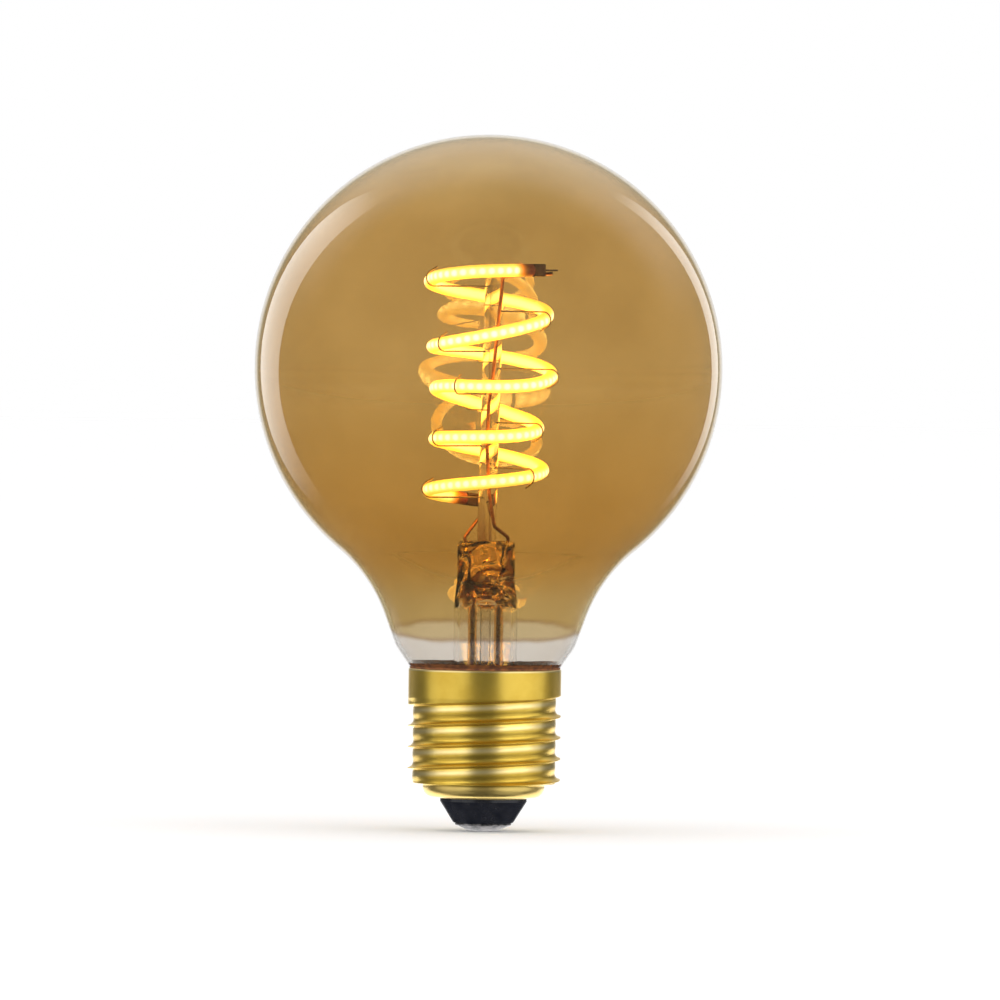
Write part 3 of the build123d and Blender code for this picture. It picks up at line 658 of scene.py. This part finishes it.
supportNames = [name for name in cadNodes if name.startswith("support_wire")]
finishes = {
    "blackGlass": dict(
        dark=(0.006, 0.007, 0.011, 1), light=(0.016, 0.017, 0.023, 1), rough=(0.12, 0.3), grain=420.0),
    "dullSolder": dict(
        dark=(0.08, 0.08, 0.085, 1), light=(0.42, 0.40, 0.40, 1), rough=(0.4, 0.6), grain=900.0,
        metallic=1.0, depth=0.25 * mm, strength=0.6),
    "redCement": dict(
        dark=(0.09, 0.026, 0.005, 1), light=(0.26, 0.09, 0.022, 1), rough=(0.7, 0.9), grain=900.0,
        depth=0.15 * mm, strength=0.6),
    "terminalMetal": dict(
        dark=(0.03, 0.014, 0.008, 1), light=(0.08, 0.042, 0.024, 1), rough=(0.35, 0.5), grain=900.0, metallic=0.7),
    "leadMetal": dict(
        dark=(0.13, 0.045, 0.018, 1), light=(0.25, 0.10, 0.045, 1), rough=(0.25, 0.4), grain=1500.0, metallic=0.8),
    "supportMetal": dict(
        dark=(0.11, 0.085, 0.065, 1), light=(0.21, 0.165, 0.125, 1), rough=(0.3, 0.45), grain=2500.0, metallic=1.0),
    "brownSleeve": dict(
        dark=(0.80, 0.44, 0.14, 1), light=(0.95, 0.66, 0.30, 1), rough=(0.15, 0.3), grain=700.0,
        depth=0.08 * mm, clear=0.95),
    "greenMask": dict(
        dark=(0.02, 0.09, 0.03, 1), light=(0.03, 0.13, 0.05, 1), rough=(0.3, 0.4), grain=600.0),
    "packageBlack": dict(
        dark=(0.012, 0.012, 0.012, 1), light=(0.03, 0.03, 0.03, 1), rough=(0.5, 0.65), grain=1500.0),
    "capacitorFilm": dict(
        dark=(0.02, 0.02, 0.035, 1), light=(0.035, 0.035, 0.06, 1), rough=(0.3, 0.4), grain=500.0),
    "fuseLacquer": dict(
        dark=(0.08, 0.16, 0.26, 1), light=(0.12, 0.22, 0.34, 1), rough=(0.35, 0.45), grain=800.0),
    "resistorBody": dict(
        dark=(0.02, 0.02, 0.02, 1), light=(0.05, 0.05, 0.05, 1), rough=(0.4, 0.5), grain=1200.0),
    "tinnedCopper": dict(
        dark=(0.55, 0.50, 0.42, 1), light=(0.72, 0.68, 0.60, 1), rough=(0.25, 0.4), grain=1500.0, metallic=1.0),
}
wears = {
    "blackGlass": ["cap_insulator"],
    "dullSolder": ["contact_solder", "contact_eyelet"],
    "redCement": ["cap_cement"],
    "terminalMetal": ["filament_terminal_upper", "filament_terminal_lower"],
    "leadMetal": ["lead_wire_upper", "lead_wire_lower"],
    "supportMetal": supportNames,
    "brownSleeve": ["lead_sleeve_upper", "lead_sleeve_lower"],
    "greenMask": ["driver_board"],
    "packageBlack": ["bridge_rectifier", "driver_chip"],
    "capacitorFilm": ["smoothing_capacitor"],
    "fuseLacquer": ["fuse_resistor"],
    "resistorBody": ["chip_resistor_left", "chip_resistor_right"],
    "tinnedCopper": ["neutral_wire"],
}
for finishName, names in wears.items():
    dress(names, makeFinish(finishName, **finishes[finishName]))
print("cap and wires dressed")


# uneven bead of cement between the glass and the rim of the cap

beadLook = {
    "radius": 12.72 * mm,
    "height": 28.3 * mm,
    "thick": 0.2 * mm,
    "tall": 3.2,  # drawn up along the glass
    "uneven": 0.3,
    "lumpGrain": 320.0,
    "steps": 240,
    "sides": 10,
}


def makeBeadTree():
    tree = bpy.data.node_groups.new("cementBead", "GeometryNodeTree")
    tree.interface.new_socket("Geometry", in_out="INPUT", socket_type="NodeSocketGeometry")
    for name in ("Radius", "Height", "Thick", "Tall", "Uneven", "Grain"):
        tree.interface.new_socket(name, in_out="INPUT", socket_type="NodeSocketFloat")
    for name in ("Steps", "Sides"):
        tree.interface.new_socket(name, in_out="INPUT", socket_type="NodeSocketInt")
    tree.interface.new_socket("Finish", in_out="INPUT", socket_type="NodeSocketMaterial")
    tree.interface.new_socket("Bead", in_out="OUTPUT", socket_type="NodeSocketGeometry")
    given = addNode(tree, "NodeGroupInput")
    ring = addNode(tree, "GeometryNodeCurvePrimitiveCircle", {
        "Resolution": given.outputs["Steps"], "Radius": given.outputs["Radius"],
    })
    lumps = addNode(tree, "ShaderNodeTexNoise", {"Scale": given.outputs["Grain"], "Detail": 2.0}).outputs["Fac"]
    swing = mathNode(tree, "MULTIPLY", mathNode(tree, "SUBTRACT", lumps, 0.5), 2.0)
    fullness = mathNode(tree, "MULTIPLY_ADD", swing, given.outputs["Uneven"], 1.0)
    profile = addNode(tree, "GeometryNodeCurvePrimitiveCircle", {
        "Resolution": given.outputs["Sides"], "Radius": given.outputs["Thick"],
    })
    bead = addNode(tree, "GeometryNodeCurveToMesh", {
        "Curve": ring.outputs[0], "Profile Curve": profile.outputs[0], "Scale": fullness,
    })
    lift = addNode(tree, "ShaderNodeCombineXYZ", {"Z": given.outputs["Height"]})
    draw = addNode(tree, "ShaderNodeCombineXYZ", {"X": 1.0, "Y": 1.0, "Z": given.outputs["Tall"]})
    drawn = addNode(tree, "GeometryNodeTransform", {
        "Geometry": bead.outputs[0], "Translation": lift.outputs[0], "Scale": draw.outputs[0],
    })
    smooth = addNode(tree, "GeometryNodeSetShadeSmooth", {"Geometry": drawn.outputs[0]})
    real = addNode(tree, "GeometryNodeRealizeInstances", {0: smooth.outputs[0]})
    finish = addNode(tree, "GeometryNodeSetMaterial", {
        "Geometry": real.outputs[0], "Material": given.outputs["Finish"],
    })
    out = addNode(tree, "NodeGroupOutput")
    tree.links.new(finish.outputs[0], out.inputs["Bead"])
    return tree


def makeBead(look):
    bead = runTree("cementBead", bpy.data.meshes.new("beadStart"), makeBeadTree(), {
        "Radius": look["radius"], "Height": look["height"], "Thick": look["thick"], "Tall": look["tall"],
        "Uneven": look["uneven"], "Grain": look["lumpGrain"], "Steps": look["steps"], "Sides": look["sides"],
        "Finish": bpy.data.materials["redCement"],
    })
    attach(bead, "root")
    print("cement bead laid,", len(bead.data.polygons), "faces")


makeBead(beadLook)


# floor

floorLook = {
    "size": 12.0,
    "color": (0.985, 0.985, 0.985, 1),
    "fade": (1.5, 5.5),  # far away it passes into the white room
}


def makeFloor(look):
    half = look["size"] / 2
    mesh = bpy.data.meshes.new("floor")
    corners = [(-half, -half, 0), (half, -half, 0), (half, half, 0), (-half, half, 0)]
    mesh.from_pydata(corners, [], [(0, 1, 2, 3)])
    floor = bpy.data.objects.new("floor", mesh)
    floor.visible_glossy = False  # the cap shows the room, not a white sheet below it
    floor.visible_shadow = False  # lets the lamps below reach the cap
    scene.collection.objects.link(floor)
    material, tree = newMaterial("paleFloor")
    matt = addNode(tree, "ShaderNodeBsdfDiffuse", {"Color": look["color"]})
    away = vectorNode(tree, "LENGTH", objectCoords(tree)).outputs["Value"]
    gone = addNode(tree, "ShaderNodeBsdfTransparent")
    closeMaterial(tree, addNode(tree, "ShaderNodeMixShader", {
        0: remap(tree, away, *look["fade"]), 1: matt.outputs[0], 2: gone.outputs[0],
    }))
    mesh.materials.append(material)


makeFloor(floorLook)


# studio light

lightLook = {
    "roomDiffuse": 1.02,  # world as the floor and matt pieces see it
    "roomFront": 0.14,  # world as reflections see it, towards the camera
    "roomBack": 0.12,
    "roomUp": 0.8,  # more from above and behind
    "roomDown": 0.25,  # share that is left below
    "backBand": (-0.4, 0.8),  # bands of direction, from front to back along Y
    "behindBand": (0.1, 0.55),
    "whiteBand": (0.92, 0.97),  # white straight behind
    "downBand": (-0.5, 0.05),  # and from below to above along Z
    "upBand": (0.15, 0.7),
    "softEnds": (0.12, 0.46),  # where the rim lamps begin to fade and end
}
lamps = {
    "softLeft": dict(place=(-0.53, -0.32, 0.10), aim=(0, 0, 0.03), size=(0.90, 0.6), glow=0.62),
    "softRight": dict(place=(0.56, -0.29, 0.10), aim=(0, 0, 0.03), size=(1.10, 0.6), glow=0.72),
    "stripLeft": dict(place=(-0.50, -0.36, 0.17), aim=(0, 0, 0.02), size=(0.70, 0.14), glow=1.1),
    "stripRight": dict(place=(0.50, -0.38, 0.17), aim=(0, 0, 0.02), size=(0.70, 0.14), glow=1.35),
}
capLamps = {
    "lowBack": dict(place=(0, 0.30, -0.22), aim=(0, 0, 0.01), size=(0.9, 0.5), glow=1.6),
    "lowLeft": dict(place=(-0.44, -0.26, -0.34), aim=(0, 0, 0.02), size=(0.6, 0.5), glow=0.28),
    "lowRight": dict(place=(0.44, -0.26, -0.34), aim=(0, 0, 0.02), size=(0.6, 0.5), glow=0.36),
    "highLeft": dict(place=(-0.40, -0.26, 0.40), aim=(0, 0, 0.02), size=(0.5, 0.3), glow=0.9),
    "highRight": dict(place=(0.40, -0.26, 0.40), aim=(0, 0, 0.02), size=(0.5, 0.3), glow=1.0),
}
rimLamps = {
    "rimLeft": dict(place=(-0.13, 0.11, 0.125), aim=(0, 0.11, 0.125), size=(0.12, 0.36), glow=1.6, soft=True),
    "rimRight": dict(place=(0.13, 0.16, 0.12), aim=(0, 0.16, 0.12), size=(0.09, 0.34), glow=1.4, soft=True),
}


def softenEnds(data, fade):
    data.use_nodes = True
    tree = data.node_tree
    tree.nodes.clear()
    spot = addNode(tree, "ShaderNodeNewGeometry").outputs["Parametric"]
    along = addNode(tree, "ShaderNodeSeparateXYZ", {0: spot}).outputs["Y"]
    start, end = fade
    off = mathNode(tree, "ABSOLUTE", mathNode(tree, "SUBTRACT", along, 0.5))
    light = addNode(tree, "ShaderNodeEmission", {"Strength": remap(tree, off, end, start)})
    tree.links.new(light.outputs[0], addNode(tree, "ShaderNodeOutputLight").inputs["Surface"])


def makeLamp(name, place, aim, size, glow, soft=False):
    data = bpy.data.lights.new(name, "AREA")
    data.shape = "ELLIPSE" if soft else "RECTANGLE"
    if soft:
        softenEnds(data, lightLook["softEnds"])
    data.size, data.size_y = size
    data.energy = glow * math.pi * size[0] * size[1]
    lamp = bpy.data.objects.new(name, data)
    scene.collection.objects.link(lamp)
    back = (Vector(place) - Vector(aim)).normalized()
    across = Vector((0, 0, 1)).cross(back).normalized()
    up = back.cross(across)
    turn = Matrix((across, up, back)).transposed().to_4x4()
    lamp.matrix_world = Matrix.Translation(place) @ turn
    lamp.visible_camera = False
    lamp.visible_transmission = False
    return lamp


def makeWorld(look):
    world = bpy.data.worlds.new("studio")
    world.use_nodes = True
    tree = world.node_tree
    tree.nodes.clear()
    path = addNode(tree, "ShaderNodeLightPath")
    seen = mathNode(tree, "MAXIMUM", path.outputs["Is Camera Ray"], path.outputs["Is Transmission Ray"])
    aim = addNode(tree, "ShaderNodeTexCoord").outputs["Generated"]
    ways = addNode(tree, "ShaderNodeSeparateXYZ", {0: aim})
    behind, above = ways.outputs["Y"], ways.outputs["Z"]
    around = remap(tree, behind, *look["backBand"], look["roomFront"], look["roomBack"])
    lower = remap(tree, above, *look["downBand"], look["roomDown"], 1.0)
    upper = mathNode(tree, "MULTIPLY", remap(tree, above, *look["upBand"], 0.0, look["roomUp"]),
                     remap(tree, behind, *look["behindBand"]))
    mirrored = mathNode(tree, "MULTIPLY_ADD", around, lower, upper)
    mirrored = mathNode(tree, "MAXIMUM", mirrored, remap(tree, behind, *look["whiteBand"]))
    matt = look["roomDiffuse"]
    change = mathNode(tree, "SUBTRACT", mirrored, matt)
    room = mathNode(tree, "MULTIPLY_ADD", change, path.outputs["Is Glossy Ray"], matt)
    level = mathNode(tree, "MULTIPLY_ADD", mathNode(tree, "SUBTRACT", 1.0, room), seen, room)
    light = addNode(tree, "ShaderNodeBackground", {"Color": (1, 1, 1, 1), "Strength": level})
    out = addNode(tree, "ShaderNodeOutputWorld")
    tree.links.new(light.outputs[0], out.inputs["Surface"])
    scene.world = world


def makeLamps():
    glassOnly = bpy.data.collections.new("rimReceivers")
    glassOnly.objects.link(globe)
    restOnly = bpy.data.collections.new("softReceivers")
    restOnly.objects.link(globe)
    restOnly.collection_objects[0].light_linking.link_state = "EXCLUDE"
    capOnly = bpy.data.collections.new("capReceivers")
    for name in ("screw_shell", "contact_solder", "contact_eyelet"):
        capOnly.objects.link(cadNodes[name])
    for group, receivers in ((lamps, restOnly), (capLamps, capOnly)):
        for name, settings in group.items():
            linking = makeLamp(name, **settings).light_linking
            linking.receiver_collection = receivers
            linking.blocker_collection = restOnly  # the glass lets the light through
    for name, settings in rimLamps.items():
        makeLamp(name, **settings).light_linking.receiver_collection = glassOnly


makeWorld(lightLook)
makeLamps()
scene.view_settings.view_transform = "Standard"
print("studio lit")


# camera

cameraLook = {
    "aim": (2.23 * mm, 0.0, 56.65 * mm),
    "distance": 3.0,
    "elevation": 1.2,
    "lean": 0.684,  # the lamp leans to the right in the picture
    "pixelsPerMm": 5.85,
    "picture": 1000,
    "clip": (0.01, 50.0),
}


def makeCamera(look):
    data = bpy.data.cameras.new("camera")
    width = look["picture"] / look["pixelsPerMm"] * mm
    data.lens = data.sensor_width * look["distance"] / width
    data.clip_start, data.clip_end = look["clip"]
    camera = bpy.data.objects.new("camera", data)
    scene.collection.objects.link(camera)
    rise = math.radians(look["elevation"])
    away = Vector((0, -math.cos(rise), math.sin(rise))) * look["distance"]
    tilt = Matrix.Rotation(math.radians(90.0) - rise, 4, "X")
    roll = Matrix.Rotation(math.radians(look["lean"]), 4, "Z")
    camera.matrix_world = Matrix.Translation(Vector(look["aim"]) + away) @ tilt @ roll
    scene.camera = camera


makeCamera(cameraLook)
print("camera set")
